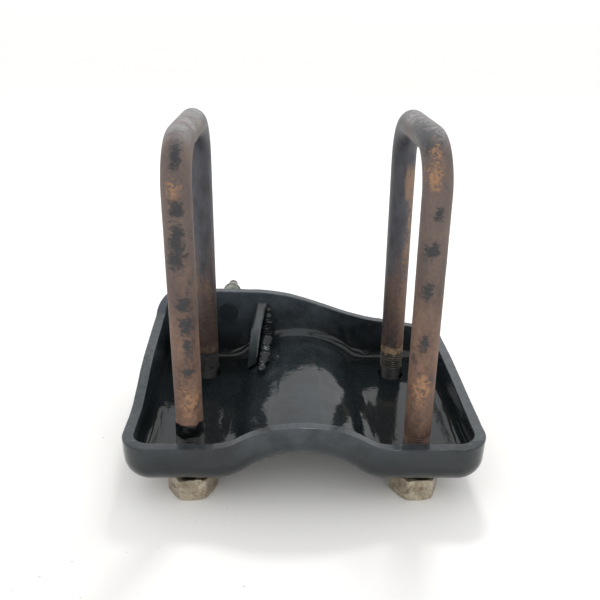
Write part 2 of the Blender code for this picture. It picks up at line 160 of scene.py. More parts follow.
# ------------------------------------------------------------------ node helpers
class Nodes:
    """Builds a Principled material; numbers that don't vary are set on the shader itself."""

    SOCKETS = {"colour": "Base Color", "rough": "Roughness", "metal": "Metallic", "normal": "Normal",
               "ior": "IOR", "specular": "Specular IOR Level"}

    def __init__(self, name):
        self.mat = bpy.data.materials.new(name)
        self.mat.use_nodes = True
        self.tree = self.mat.node_tree
        self.shader = self.tree.nodes["Principled BSDF"]
        self.coords = self.tree.nodes.new("ShaderNodeTexCoord").outputs["Object"]

    def link(self, value, socket):
        if isinstance(value, bpy.types.NodeSocket):
            self.tree.links.new(value, socket)
        elif socket.type == "RGBA":
            socket.default_value = (*value[:3], 1.0)
        else:
            socket.default_value = value

    def node(self, kind, inputs, **settings):
        node = self.tree.nodes.new(kind)
        for key, value in settings.items():
            setattr(node, key, value)
        for key, value in inputs.items():
            self.link(value, node.inputs[key])
        return node

    def axes(self):
        node = self.node("ShaderNodeSeparateXYZ", {0: self.coords})
        return node.outputs[0], node.outputs[1], node.outputs[2]

    def facing(self, axis):
        """How far the surface faces along an axis, from -1 to 1."""
        geometry = self.tree.nodes.new("ShaderNodeNewGeometry")
        return self.node("ShaderNodeSeparateXYZ", {0: geometry.outputs["Normal"]}).outputs["XYZ".index(axis)]

    def mapped(self, scale):
        return self.node("ShaderNodeMapping", {"Vector": self.coords, "Scale": scale}).outputs[0]

    def noise(self, scale, detail, rough, vector=None, distort=0.0):
        inputs = {"Vector": vector or self.coords, "Scale": scale, "Detail": detail,
                  "Roughness": rough, "Distortion": distort}
        return self.node("ShaderNodeTexNoise", inputs).outputs["Fac"]

    def ramp(self, fac, stops):
        """Runs a factor through stops of (position, colour) or (position, grey)."""
        node = self.node("ShaderNodeValToRGB", {"Fac": fac})
        while len(node.color_ramp.elements) < len(stops):
            node.color_ramp.elements.new(0.5)
        for element, (pos, colour) in zip(node.color_ramp.elements, stops):
            element.position = pos
            element.color = (colour,) * 3 + (1.0,) if isinstance(colour, float) else (*colour, 1.0)
        return node.outputs["Color"]

    def step(self, fac, low, high):
        """Soft step, 0 at low and 1 at high; low may be the larger one."""
        return self.node("ShaderNodeMapRange", {"Value": fac, "From Min": low, "From Max": high},
                         interpolation_type="SMOOTHSTEP").outputs[0]

    def rise(self, length, low, high):
        """Soft step along a length of the object, with its ends in millimetres."""
        return self.step(length, low * MM, high * MM)

    def math(self, op, a, b=0.5):
        return self.node("ShaderNodeMath", {0: a, 1: b}, operation=op).outputs[0]

    def times(self, first, *others):
        for other in others:
            first = self.math("MULTIPLY", first, other)
        return first

    def plus(self, first, *others):
        for other in others:
            first = self.math("ADD", first, other)
        return first

    def minus(self, a, b):
        return self.math("SUBTRACT", a, b)

    def larger(self, a, b):
        return self.math("MAXIMUM", a, b)

    def mix(self, fac, a, b):
        """Colour a where the factor is 0, colour b where it is 1."""
        node = self.tree.nodes.new("ShaderNodeMix")
        node.data_type = "RGBA"
        for key, value in ((0, fac), (6, a), (7, b)):
            self.link(value, node.inputs[key])
        return node.outputs[2]

    def blend(self, fac, a, b):
        """Number a where the factor is 0, number b where it is 1."""
        node = self.tree.nodes.new("ShaderNodeMix")
        for key, value in ((0, fac), (2, a), (3, b)):
            self.link(value, node.inputs[key])
        return node.outputs[0]

    def bump(self, height, depth, strength):
        """Shading relief of a depth in millimetres."""
        inputs = {"Height": height, "Distance": depth * MM, "Strength": strength}
        return self.node("ShaderNodeBump", inputs).outputs[0]

    def finish(self, **values):
        for key, value in values.items():
            self.link(value, self.shader.inputs[self.SOCKETS[key]])
        return self.mat


# ------------------------------------------------------------------ black paint
RIM_BAND, CORNER_BAND = 7.3, 17.0       # how far in from the pan's sides and corners the rim reaches


def rim_mask(m):
    """1 on the sheared top of the flange: faces that look up, in the outermost band of the pan."""
    x, y, _ = m.axes()
    out_x = m.math("ABSOLUTE", x)
    out_y = m.math("ABSOLUTE", m.minus(y, (MID_Y - ORIGIN_Y) * MM))
    sides = m.larger(m.minus(out_x, (HALF_X - RIM_BAND) * MM), m.minus(out_y, (HALF_Y - RIM_BAND) * MM))
    corners = m.minus(m.plus(out_x, out_y), (HALF_X + HALF_Y - CORNER_BAND) * MM)
    band = m.rise(m.larger(sides, corners), 0.0, 0.4)
    front_share = m.blend(m.rise(y, -87.0, -85.0), 0.35, 1.0)
    return m.times(m.step(m.facing("Z"), 0.72, 0.9), band, front_share)


def sheared_rim(m, colour, rough):
    """Grey, duller paint along the top of the flange."""
    top = rim_mask(m)
    grey = m.ramp(m.noise(330.0, 5.0, 0.7), [(0.3, (0.030, 0.037, 0.043)), (0.55, (0.058, 0.068, 0.076)),
                                             (0.75, (0.10, 0.112, 0.12))])
    return m.mix(m.times(top, 0.9), colour, grey), m.blend(top, rough, 0.42)


def grey_front_mottle(m, colour, rough, front_grey):
    """Lighter grey mottle on the faces turned towards the viewer, weak at the foot."""
    z = m.axes()[2]
    front = m.step(m.times(m.facing("Y"), -1.0), 0.45, 0.8)
    grey_mottle = m.ramp(m.noise(420.0, 5.0, 0.65, vector=m.mapped((1.0, 0.3, 0.3))),
                    [(0.3, (0.065, 0.073, 0.078)), (0.7, (0.140, 0.152, 0.158))])
    fade = m.times(front, m.blend(m.rise(z, 30.0, 42.0), 0.25, front_grey))
    return m.mix(fade, colour, grey_mottle), m.blend(fade, rough, 0.45)


def black_paint(name, front_grey=0.0, lumps=1.0, dust=0.75, rim=False):
    """Brushed-on gloss black: flowing lumps, orange peel, a pale blue-grey haze up the walls that is partly
    dust film and partly a painted reflection, dust nibs on top.
    """
    m = Nodes(name)
    z = m.axes()[2]
    smear = m.noise(28.0, 5.0, 0.6, vector=m.mapped((1.0, 1.0, 0.35)))
    colour = m.mix(smear, (0.0060, 0.0085, 0.0095), (0.0135, 0.0175, 0.0195))
    # partly dust film, partly painted reflection: the paint turns paler blue-grey higher up the walls; dust
    # sets how strongly it shows
    dust_and_reflection = m.times(m.rise(z, 20.0, 60.0), m.step(m.noise(42.0, 6.0, 0.65), 0.25, 0.65))
    colour = m.mix(m.times(dust_and_reflection, dust), colour, (0.078, 0.098, 0.116))
    smudge = m.times(m.step(m.noise(75.0, 7.0, 0.72, distort=0.6), 0.58, 0.72), m.rise(z, 36.0, 58.0))
    colour = m.mix(m.times(smudge, 0.35), colour, (0.12, 0.13, 0.14))
    nibs = m.times(m.step(m.noise(1900.0, 1.0, 0.5), 0.68, 0.75), m.step(m.facing("Z"), 0.5, 0.95))
    colour = m.mix(m.times(nibs, 0.35), colour, (0.12, 0.125, 0.13))
    dull = m.times(m.rise(z, 36.0, 68.0), dust_and_reflection)
    rough = m.blend(dull, m.ramp(m.noise(55.0, 6.0, 0.65), [(0.4, 0.030), (0.75, 0.085)]), 0.24)
    rough = m.blend(m.times(nibs, 0.8), rough, 0.6)
    if rim:
        colour, rough = sheared_rim(m, colour, rough)
    if front_grey:
        colour, rough = grey_front_mottle(m, colour, rough, front_grey)
    flow = m.noise(85.0, 3.0, 0.5)
    peel = m.noise(560.0, 2.0, 0.5)
    grit = m.noise(2600.0, 2.0, 0.6)
    height = m.plus(m.times(flow, 0.42 * lumps), m.times(peel, 0.15), m.times(grit, 0.008))
    return m.finish(colour=colour, rough=rough, normal=m.bump(height, 0.7, 0.6), ior=1.46)


# ------------------------------------------------------------------ rust of the rods
MILL_SCALE, BRIGHT_RUST, ORANGE_FLECK = (0.034, 0.037, 0.042), (0.36, 0.20, 0.105), (0.38, 0.205, 0.105)
TAN_EDGE, BRASSY, DUST = (0.36, 0.225, 0.13), (0.40, 0.29, 0.17), (0.33, 0.33, 0.335)
ROOT_DIRT, FOOT_PAINT = (0.008, 0.008, 0.008), (0.005, 0.0055, 0.006)
THREAD_CRESTS = {"left": ((0.012, 0.012, 0.012), (0.060, 0.058, 0.055)),
                 "right": ((0.045, 0.040, 0.034), (0.21, 0.175, 0.125))}
FOOT_PAINT_TOP = {"left": (44.0, 24.5), "right": (30.0, 26.2)}      # mm, on the near leg and the far leg

# patches on the near legs: x and z of the centre, half width and half height, in millimetres
SCALE_SPOTS = {
    "left": ((-61.0, 181.0, 2.6, 5.0), (-61.0, 158.0, 3.2, 5.0), (-61.5, 143.0, 3.4, 10.0),
             (-62.0, 134.0, 4.2, 5.5), (-59.5, 111.0, 3.2, 3.6), (-59.0, 100.0, 3.0, 5.0),
             (-59.0, 90.0, 1.6, 4.0), (-59.0, 75.0, 2.8, 3.6)),
    "right": ((52.5, 188.5, 7.0, 5.5), (56.5, 140.0, 3.4, 3.8), (56.0, 120.0, 2.4, 3.6),
              (58.0, 158.0, 2.2, 3.0), (57.0, 92.0, 2.2, 4.0)),
}
BRIGHT_SPOTS = {
    "left": ((-59.5, 58.0, 4.6, 9.0), (-62.0, 166.0, 3.0, 5.5)),
    "right": ((55.5, 183.0, 2.2, 5.0), (54.5, 174.0, 3.4, 6.0), (58.0, 66.0, 3.4, 8.0)),
}


class RodRust(Nodes):
    """Old U-bolt rod: brown rust, slate mill scale, orange flecks, dust on top, paint at the foot."""

    def __init__(self, name, side):
        super().__init__(name)
        self.side = side
        self.x, self.y, self.z = self.axes()
        self.near = self.rise(self.y, -20.0, -50.0)
        self.far = self.rise(self.y, -30.0, 0.0)
        self.long = self.mapped((1.0, 1.0, 0.45))
        self.broad = self.noise(70.0, 6.0, 0.6, vector=self.long)
        self.fine = self.noise(520.0, 5.0, 0.7)
        self.mixed = self.plus(self.times(self.broad, 0.55), self.times(self.fine, 0.45))
        self.dark = self.times(self.spots(SCALE_SPOTS), self.near)
        self.bright = self.times(self.spots(BRIGHT_SPOTS), self.near)

    def spots(self, table):
        """Joined mask of soft ragged spots, with 0 at their edges and 1 inside."""
        feather = self.noise(330.0, 7.0, 0.78, vector=self.mapped((0.8, 0.8, 1.5)), distort=0.7)
        ragged = self.times(self.minus(feather, 0.5), 5.0)
        total = 0.0
        for cx, cz, half_w, half_h in table[self.side]:
            dx = self.math("DIVIDE", self.minus(self.x, cx * MM), half_w * MM)
            dz = self.math("DIVIDE", self.minus(self.z, cz * MM), half_h * MM)
            distance = self.math("SQRT", self.plus(self.times(dx, dx), self.times(dz, dz)))
            total = self.larger(total, self.step(self.plus(distance, ragged), 1.30, 0.45))
        return total

    def wander(self, scale, detail, rough, reach):
        """Height along the rod with a ragged wander, for the ends of zones; its reach is in millimetres."""
        return self.plus(self.z, self.times(self.minus(self.noise(scale, detail, rough), 0.5), reach * MM))

    def base(self):
        """Brown rust that greys upwards, with patches of mill scale and orange flecks."""
        colour = self.ramp(self.mixed, [(0.30, (0.040, 0.030, 0.026)), (0.42, (0.105, 0.063, 0.046)),
                                        (0.52, (0.170, 0.100, 0.070)), (0.62, (0.235, 0.140, 0.096)),
                                        (0.76, (0.36, 0.215, 0.135))])
        colour = self.mix(self.times(self.rise(self.z, 75.0, 155.0), 0.50), colour, (0.115, 0.110, 0.112))
        patch = self.noise(120.0, 7.0, 0.70, vector=self.long, distort=0.5)
        self.scale = self.larger(self.times(self.step(patch, 0.57, 0.64), 0.6), self.dark)
        colour = self.mix(self.times(self.scale, 0.88), colour, MILL_SCALE)
        loose = self.times(self.step(self.noise(230.0, 6.0, 0.75, distort=0.8), 0.64, 0.70), 0.7)
        flecks = self.larger(loose, self.times(self.bright, self.step(self.fine, 0.40, 0.58)))
        return self.mix(self.times(flecks, 0.7), colour, ORANGE_FLECK)

    def outer_edge(self):
        """Ragged strip down the outer side of the leaning leg."""
        upright = self.plus(self.x, self.times(self.z, math.tan(math.radians(LEAN_DEG[self.side]))))
        strip = self.rise(self.plus(upright, self.times(self.broad, 0.010)), 66.5, 68.5)
        return self.times(strip, self.rise(self.z, 164.0, 154.0), self.step(self.mixed, 0.42, 0.54))

    def far_leg(self, colour):
        """The far legs are slate with a brown streak low down; the right one has a tan outer edge."""
        low = self.rise(self.z, *((135.0, 85.0) if self.side == "left" else (120.0, 75.0)))
        streak = self.step(self.noise(110.0, 7.0, 0.7, vector=self.mapped((1.0, 1.0, 0.25))), 0.44, 0.60)
        bare = self.times(streak, low, 0.75)
        edge = self.outer_edge() if self.side == "right" else 0.0
        self.slate = self.times(self.far, self.minus(1.0, self.larger(bare, edge)))
        slate = self.ramp(self.noise(150.0, 6.0, 0.65, vector=self.long),
                          [(0.3, (0.030, 0.034, 0.044)), (0.7, (0.082, 0.088, 0.106))])
        colour = self.mix(self.times(self.slate, 0.92), colour, slate)
        # darker umber lower down the far legs
        low_umber_share = self.times(self.far, self.rise(self.wander(90.0, 6.0, 0.7, 30.0), 105.0, 60.0))
        umber = self.ramp(self.fine, [(0.3, (0.030, 0.020, 0.015)), (0.7, (0.105, 0.064, 0.044))])
        colour = self.mix(self.times(low_umber_share, 0.85 if self.side == "left" else 0.45), colour, umber)
        if self.side == "right":
            tan = self.times(edge, self.far, self.rise(self.z, 95.0, 120.0), 0.45)
            colour = self.mix(tan, colour, TAN_EDGE)
        return colour

    def crossbar_dust(self, colour):
        """Pale dust on the crossbar; the patches of the near bend show through it."""
        speckle = self.step(self.noise(170.0, 7.0, 0.75, distort=0.7), 0.30, 0.62)
        place = self.times(self.rise(self.z, 164.0, 188.0), self.rise(self.y, -74.0, -58.0))
        self.dust = self.times(place, speckle, self.step(self.facing("Z"), 0.0, 0.75))
        colour = self.mix(self.times(self.dust, 0.9), colour, DUST)
        colour = self.mix(self.times(self.dark, 0.62), colour, MILL_SCALE)
        share = self.times(self.step(self.fine, 0.42, 0.58), 0.6 if self.side == "right" else 0.15)
        return self.mix(self.times(self.bright, share), colour, BRIGHT_RUST)

    def thread_zone(self, colour):
        """Far legs: a bare brassy ring over the thread, worn crests, black roots. Paint at every foot."""
        level = self.wander(170.0, 4.0, 0.6, 7.0)
        ring = self.times(self.rise(level, 37.5, 38.5), self.rise(level, 43.2, 41.8), self.far)
        ring = self.times(ring, self.step(self.fine, 0.36, 0.56), 0.12 if self.side == "left" else 0.85)
        colour = self.mix(ring, colour, BRASSY)
        crests = self.mix(self.step(self.noise(260.0, 5.0, 0.7), 0.42, 0.60), *THREAD_CRESTS[self.side])
        root = self.node("ShaderNodeAttribute", {}, attribute_name="root").outputs["Fac"]
        thread = self.mix(self.step(root, 0.12, 0.42), crests, ROOT_DIRT)
        threaded = self.times(self.far, self.rise(self.z, THREAD_TOP_Z + 0.6, THREAD_TOP_Z))
        colour = self.mix(threaded, colour, thread)
        near_top, far_top = FOOT_PAINT_TOP[self.side]
        paint_top = self.blend(self.far, near_top * MM, far_top * MM)
        self.paint = self.rise(self.minus(level, paint_top), 0.6, -0.6)
        return self.mix(self.paint, colour, FOOT_PAINT)

    def build(self):
        colour = self.thread_zone(self.crossbar_dust(self.far_leg(self.base())))
        rough = self.blend(self.scale, self.ramp(self.fine, [(0.3, 0.52), (0.7, 0.78)]), 0.40)
        rough = self.blend(self.times(self.slate, 0.8), rough, 0.42)
        rough = self.blend(self.dust, rough, 0.9)
        rough = self.blend(self.paint, rough, 0.10)
        metal = self.times(self.minus(1.0, self.paint), self.blend(self.scale, 0.15, 0.4))
        grain = self.noise(2400.0, 3.0, 0.7)
        height = self.plus(self.times(self.fine, 0.6), self.times(grain, 0.25), self.times(self.scale, 0.35))
        return self.finish(colour=colour, rough=rough, metal=metal, normal=self.bump(height, 0.35, 0.8))


# ------------------------------------------------------------------ nuts, stud and table
def tarnished_zinc(name):
    """Dull zinc with brown stains and dark grease; the top band under the plate is darkened near black as a
    painted shadow.
    """
    m = Nodes(name)
    broad = m.noise(140.0, 6.0, 0.65)
    fine = m.noise(900.0, 4.0, 0.7)
    value = m.plus(m.times(broad, 0.65), m.times(fine, 0.35))
    colour = m.ramp(value, [(0.30, (0.13, 0.103, 0.074)), (0.45, (0.34, 0.29, 0.215)),
                            (0.58, (0.54, 0.48, 0.375)), (0.75, (0.74, 0.69, 0.58))])
    stain = m.step(m.noise(260.0, 6.0, 0.72, distort=0.4), 0.56, 0.68)
    colour = m.mix(m.times(stain, 0.7), colour, (0.27, 0.15, 0.08))
    grease = m.step(m.noise(95.0, 5.0, 0.6, distort=0.6), 0.58, 0.68)
    colour = m.mix(m.times(grease, 0.8), colour, (0.040, 0.031, 0.024))
    # painted shadow: the top band of the nut, tucked under the plate, is darkened near black
    plate_shadow_line = m.plus(m.axes()[2], m.times(m.noise(260.0, 4.0, 0.6), 4.0 * MM))
    colour = m.mix(m.times(m.rise(plate_shadow_line, 14.8, 15.8), 0.8), colour, (0.012, 0.012, 0.013))
    rough = m.ramp(fine, [(0.3, 0.26), (0.7, 0.50)])
    height = m.plus(m.times(fine, 0.45), m.times(broad, 0.5))
    return m.finish(colour=colour, rough=rough, metal=0.8, normal=m.bump(height, 0.2, 0.6))


def oxidised_steel(name):
    """Grey-green steel of the stud, darker on its nose, with black overspray next to the plate."""
    m = Nodes(name)
    y = m.axes()[1]
    fine = m.noise(1100.0, 4.0, 0.7)
    colour = m.ramp(m.noise(160.0, 5.0, 0.6), [(0.35, (0.14, 0.15, 0.13)), (0.55, (0.28, 0.30, 0.265)),
                                               (0.72, (0.42, 0.43, 0.39))])
    rusty = m.step(m.noise(300.0, 5.0, 0.7), 0.57, 0.66)
    colour = m.mix(m.times(rusty, 0.35), colour, (0.16, 0.09, 0.05))
    nose_y = STUD_END_Y - ORIGIN_Y - STUD_NOSE_L
    colour = m.mix(m.times(m.rise(y, nose_y - 0.5, nose_y + 0.8), 0.8), colour, (0.075, 0.065, 0.060))
    spray = m.rise(m.plus(y, m.times(m.noise(120.0, 4.0, 0.6), 10.0 * MM)), 72.0, 62.0)
    colour = m.mix(spray, colour, (0.020, 0.027, 0.033))
    rough = m.blend(spray, m.ramp(fine, [(0.3, 0.4), (0.7, 0.65)]), 0.22)
    metal = m.times(m.minus(1.0, spray), 0.6)
    return m.finish(colour=colour, rough=rough, metal=metal, normal=m.bump(fine, 0.15, 0.6))


def table_top():
    """Off-white paper with a few dark specks."""
    m = Nodes("table_top")
    colour = m.mix(m.noise(1.7, 4.0, 0.5), (0.955, 0.945, 0.92), (0.985, 0.98, 0.965))
    specks = m.step(m.noise(330.0, 1.0, 0.4), 0.785, 0.80)
    colour = m.mix(m.times(specks, 0.5), colour, (0.35, 0.31, 0.27))
    return m.finish(colour=colour, rough=0.6, specular=0.15)


# ------------------------------------------------------------------ profiles shared by the pieces
def arch(x, offset):
    """How far the arch lifts a surface that lies offset above the underside."""
    radius, fillet = ARCH_R + offset, ARCH_FILLET_R - offset
    total, drop = radius + fillet, radius - ARCH_RISE
    end = math.sqrt(total * total - (fillet + drop) ** 2)
    d = abs(x - ARCH_X)
    if d >= end:
        return 0.0
    if d <= end * radius / total:
        return math.sqrt(radius * radius - d * d) - drop
    return fillet - math.sqrt(fillet * fillet - (end - d) ** 2)


def under_z(x):
    return UNDER_Z + arch(x, 0.0)


def floor_z(x):
    return UNDER_Z + PLATE_T + arch(x, PLATE_T)


def ease(t):
    t = min(max(t, 0.0), 1.0)
    return t * t * (3.0 - 2.0 * t)


def corner_z(za, zb, t):
    """Rim height round a corner: level at the higher end, steepest at the lower one."""
    turn = 0.5 * math.pi * t
    return za + (zb - za) * (1.0 - math.cos(turn) if za > zb else math.sin(turn))


# heights of the rim along the four sides, as fitted to the visible edge
def rim_front(x):
    return 38.1 + 0.80 * arch(x, PLATE_T)


def rim_left(y):
    return 37.6 + 12.5 * ease((y + 33.0) / 56.0) + 0.125 * max(y - 18.0, 0.0)


def rim_right(y):
    return 39.0 + 2.7 * ease((y + 60.0) / 95.0)


def rim_back(x):
    return 67.7 - 21.4 * ease((x + 29.0) / 92.0) - 0.14 * max(x - 55.0, 0.0)


def lean_shift(side, z):
    """Sideways shift of a leaning bolt at a height; it is nil in the middle of the plate's floor."""
    return -math.tan(math.radians(LEAN_DEG[side])) * (z - UNDER_Z - 0.5 * PLATE_T)


def leg_positions():
    hx, hy = BOLT_PITCH_X / 2.0, LEG_PITCH_Y / 2.0
    return {"front_left": (-hx, -hy), "back_left": (-hx, hy),
            "front_right": (hx, -hy), "back_right": (hx, hy)}


# ------------------------------------------------------------------ spring plate
ACROSS, ALONG, CORNER = 150, 50, 14     # stations on the front, on a side and on a corner
EDGE_R = 0.75                           # rounding of the two edges of the rim


def plate_stations():
    """(x, y, inward x, inward y, rim height) round the outside, from the front left corner."""
    hx, r = HALF_X, CORNER_R
    xs = [(hx - r) * (2.0 * i / ACROSS - 1.0) for i in range(ACROSS + 1)]
    ys = [MID_Y + (HALF_Y - r) * (2.0 * i / ALONG - 1.0) for i in range(ALONG + 1)]
    out = [(x, FRONT_Y, 0.0, 1.0, rim_front(x)) for x in xs]
    centres = ((hx - r, FRONT_Y + r, -90.0), (hx - r, BACK_Y - r, 0.0),
               (-hx + r, BACK_Y - r, 90.0), (-hx + r, FRONT_Y + r, 180.0))
    ends = ((rim_front(xs[-1]), rim_right(ys[0])), (rim_right(ys[-1]), rim_back(xs[-1])),
            (rim_back(xs[0]), rim_left(ys[-1])), (rim_left(ys[0]), rim_front(xs[0])))
    sides = ([(hx, y, -1.0, 0.0, rim_right(y)) for y in ys],
             [(x, BACK_Y, 0.0, -1.0, rim_back(x)) for x in reversed(xs)],
             [(-hx, y, 1.0, 0.0, rim_left(y)) for y in reversed(ys)], [])
    for (cx, cy, start), (za, zb), side in zip(centres, ends, sides):
        for k in range(1, CORNER):
            a = math.radians(start + 90.0 * k / CORNER)
            point = (cx + r * math.cos(a), cy + r * math.sin(a), -math.cos(a), -math.sin(a))
            out.append((*point, corner_z(za, zb, k / CORNER)))
        out.extend(side)
    return out


def rim_wave(x, y):
    """Sheared, hand-ground rim: slow wander and small nicks, never above the drawn height."""
    slow = 0.30 * fractal((x, y, 0.0), 0.035, 2, 3.0)
    quick = 0.16 * fractal((x, y, 0.0), 0.22, 3, 9.0)
    return min(slow + quick - 0.25, 0.0)


def plate_rings(stations):
    """Rings from the edge of the underside, up the outside, over the rim and down to the floor."""
    ro, ri, e = FLANGE_BEND_R, FLANGE_BEND_R - PLATE_T, EDGE_R
    steps, walls, lip = 10, 8, 4        # rings in a bend, up a wall and round an edge of the rim
    recipes = []
    for k in range(steps, 0, -1):
        a = math.radians(90.0 * k / steps)
        recipes.append((ro * (1.0 - math.cos(a)), lambda x, rim, s=ro * (1.0 - math.sin(a)): under_z(x) + s))
    for k in range(walls):
        t = k / walls
        recipes.append((0.0, lambda x, rim, t=t: (under_z(x) + ro) * (1.0 - t) + (rim - e) * t))
    for k in range(lip + 1):
        a = math.radians(90.0 * k / lip)
        recipes.append((e * (1.0 - math.cos(a)), lambda x, rim, s=e * (1.0 - math.sin(a)): rim - s))
    for k in range(1, 4):
        recipes.append((e + (PLATE_T - 2.0 * e) * k / 4, lambda x, rim: rim))
    for k in range(lip, -1, -1):
        a = math.radians(90.0 * k / lip)
        recipes.append((PLATE_T - e * (1.0 - math.cos(a)), lambda x, rim, s=e * (1.0 - math.sin(a)): rim - s))
    for k in range(walls - 1, -1, -1):
        t = k / walls
        recipes.append((PLATE_T, lambda x, rim, t=t: (floor_z(x) + ri) * (1.0 - t) + (rim - e) * t))
    for k in range(1, steps + 1):
        a = math.radians(90.0 * k / steps)
        inset = PLATE_T + ri * (1.0 - math.cos(a))
        recipes.append((inset, lambda x, rim, s=ri * (1.0 - math.sin(a)): floor_z(x) + s))
    rings = []
    for inset, height in recipes:
        ring = []
        for x, y, nx, ny, rim in stations:
            px, py = x + nx * inset, y + ny * inset
            ring.append((px, py, height(px, rim + rim_wave(x, y))))
        rings.append(ring)
    return rings


def plate_surface(ring):
    """Fills the inside of a ring: a grid over the arch and a flat face at each end."""
    m, rows = ACROSS + 1, 40
    back = m + 2 * (CORNER - 1) + ALONG + 1     # first station of the back side
    verts, faces = [], []
    for i in range(m):
        near, far = ring[i], ring[back + m - 1 - i]
        for j in range(rows + 1):
            verts.append(tuple(a + (b - a) * (j / rows) for a, b in zip(near, far)))
    for i in range(m - 1):
        for j in range(rows):
            a, b = i * (rows + 1) + j, (i + 1) * (rows + 1) + j
            faces.append((a, b, b + 1, a + 1))
    for ends in (ring[m - 1:back + 1], ring[back + m - 1:] + [ring[0]]):
        col = m - 1 if ends[0][0] > 0 else 0
        inner = [verts[col * (rows + 1) + j] for j in range(1, rows)]
        loop = list(ends) + (inner[::-1] if col else inner)
        base = len(verts)
        verts.extend(loop)
        faces.append(tuple(range(base, base + len(loop))))
    return verts, faces


def uneven(mesh):
    """Sinks the surface by waves of pressing and paint, deepest in the bend between floor and wall."""
    normals = np.zeros(len(mesh.vertices) * 3, np.float32)
    mesh.vertex_normals.foreach_get("vector", normals)
    for v, normal in zip(mesh.vertices, normals.reshape(-1, 3)):
        p = v.co / MM
        depth = 0.16 * (1.0 + fractal(p, 0.03, 2, 5.0)) + 0.05 * (1.0 + fractal(p, 0.16, 2, 1.0))
        flat = abs(normal[2]) >= 0.97
        bend = 0.0 if flat else 1.0 - min(abs(p.z - floor_z(p.x) - 2.0) / 9.0, 1.0)
        depth += 0.22 * bend * (1.0 + fractal(p, 0.085, 3, 13.0))
        v.co -= Vector(normal) * depth * MM


def build_plate(mat):
    rings = plate_rings(plate_stations())
    verts, faces = skin(rings)
    for ring in (rings[0], rings[-1]):
        more, patches = plate_surface(ring)
        base = len(verts)
        verts += more
        faces += [tuple(base + i for i in face) for face in patches]
    plate = make_piece("plate_pan", verts, faces, mat)
    uneven(plate.data)
    cutters = [round_cutter((x, y, UNDER_Z), HOLE_R, 40.0, "Z", mat) for x, y in leg_positions().values()]
    cutters.append(round_cutter((STUD_X, BACK_Y, STUD_Z), STUD_R + GAP, 30.0, "Y", mat))
    cut(plate, cutters)
    shade(plate, 38.0)
    return plate


# ------------------------------------------------------------------ bolts
def helix_groove(z, angle, pitch):
    """Depth share of a right-hand 60 degree thread at height z and angle: 0 on crests, 1 in roots."""
    phase = (z / pitch - angle / (2.0 * math.pi)) % 1.0
    return min(max(1.25 * abs(2.0 * phase - 1.0) - 0.12, 0.0), 1.0)


def bolt_path(side):
    """(y, z, tilt) of each section, front leg end to back leg end."""
    hy = LEG_PITCH_Y / 2.0
    out, z = [], LEG_END_Z
    while z < THREAD_TOP_Z + 2.0:
        out.append((-hy, z, 0.0))
        z += THREAD_PITCH / 7.0
    top = CROSSBAR_Z[side] - BEND_R
    count = int((top - z) / 1.3)
    out += [(-hy, z + (top - z) * k / count, 0.0) for k in range(count)]
    for k in range(33):
        a = 0.5 * math.pi * k / 32
        out.append((-hy + BEND_R * (1.0 - math.cos(a)), top + BEND_R * math.sin(a), a))
    out += [(-hy + BEND_R + (hy - BEND_R) * k / 12, CROSSBAR_Z[side], 0.5 * math.pi) for k in range(1, 13)]
    return out + [(-y, z, math.pi - a) for y, z, a in reversed(out[:-1])]


def threaded_radius(z, a, probe):
    """Radius in the threaded foot of a leg, with the chamfer at its end.

    The sections of the far legs are mirrored, so their thread winds the other way.
    """
    fade = min(max((THREAD_TOP_Z - z) / 2.6, 0.0), 1.0) * (0.55 + 0.45 * min(z / 3.0, 1.0))
    groove = THREAD_DEPTH * fade * helix_groove(z, -a, THREAD_PITCH)
    chamfer = max(LEG_END_Z + 1.2 - z, 0.0) * 0.9
    return ROD_R - THREAD_CREST_IN - groove - 0.04 * (1.0 + fractal(probe, 0.5, 2, 2.0)) - chamfer


def rusty_radius(probe):
    """Radius of the plain rod, sunk by slow waves and by pits."""
    pits = max(fractal(probe, 0.55, 3, 4.0) - 0.25, 0.0)
    return ROD_R - THREAD_CREST_IN - 0.05 * (1.0 + fractal(probe, 0.09, 2, 7.0)) - 0.17 * pits


def paint_blob(side, y, z, probe):
    """Thick dribbled paint round the foot of the near left leg."""
    low, high, end = 24.0, 46.0, 4.0
    if side != "left" or y > 0.0 or not low < z < high:
        return 0.0
    return ease((z - low) / end) * ease((high - z) / end) * (0.28 + 0.40 * fractal(probe, 0.22, 3, 17.0))


def build_bolt(side, mat):
    x0 = -BOLT_PITCH_X / 2.0 if side == "left" else BOLT_PITCH_X / 2.0
    sides = 64
    rings = []
    for y, z, tilt in bolt_path(side):
        down, rise = math.cos(tilt), math.sin(tilt)
        ring = []
        for i in range(sides):
            a = 2.0 * math.pi * i / sides
            probe_r = ROD_R - THREAD_CREST_IN
            probe_across = probe_r * math.sin(a)
            probe = (x0 + probe_r * math.cos(a), y - probe_across * down, z + probe_across * rise)
            r = threaded_radius(z, a, probe) if z < THREAD_TOP_Z else rusty_radius(probe)
            r += paint_blob(side, y, z, probe)
            across = r * math.sin(a)
            pz = z + across * rise
            ring.append((x0 + r * math.cos(a) + lean_shift(side, pz), y - across * down, pz))
        rings.append(ring)
    rod = make_piece("bolt_rod_" + side, *loft(rings), mat, 50.0)
    mark_roots(rod, side, x0)
    return rod


